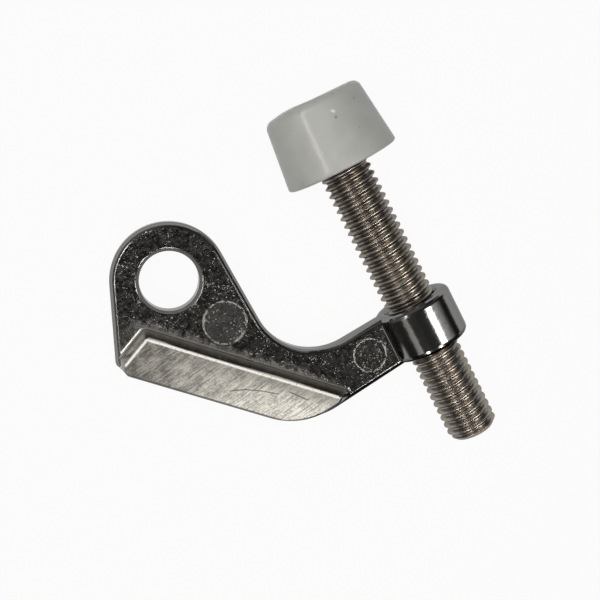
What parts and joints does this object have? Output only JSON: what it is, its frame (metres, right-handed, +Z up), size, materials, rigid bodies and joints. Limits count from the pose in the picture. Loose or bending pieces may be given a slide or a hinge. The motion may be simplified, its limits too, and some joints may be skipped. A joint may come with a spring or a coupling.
{
  "type": "hinge pin door stop",
  "caption": "Die-cast bracket with a hinge-pin eye and a door pad, and an adjusting screw in its boss that carries a rubber bumper.",
  "frame": {"origin": "on the axis of the hinge-pin bore, at half the plate's thickness", "axes": "+Z up along the hinge pin, +X along the pad, and -Y out of the pad's face towards the door"},
  "size_m": [0.0632, 0.0511, 0.0176],
  "materials": {
    "plated_casting": "nickel plate over die-cast zinc, with a ground pad face",
    "plated_screw": "nickel plate over a rolled steel thread",
    "grey_rubber": "satin moulded rubber"
  },
  "bodies": {
    "bracket": {"bracket": "plated_casting"},
    "bumper": {"bumper": "grey_rubber"},
    "adjusting_screw": {"adjusting_screw": "plated_screw"}
  },
  "joints": [
    {"name": "bumper_travel", "type": "slide", "parent": "bracket", "child": "bumper", "axis": [-0.7169, 0.6972, 0], "range_m": [-0.022, 0.015]},
    {"name": "screw_turn", "type": "hinge", "parent": "bumper", "child": "adjusting_screw", "pos_m": [0.0386, 0.00533, 0], "axis": [-0.7169, 0.6972, 0], "range_deg": [-6336, 4320]}
  ],
  "couplings": [
    {"joint": "bumper_travel", "follows": "screw_turn", "m_per_rad": 0.00019894}
  ]
}
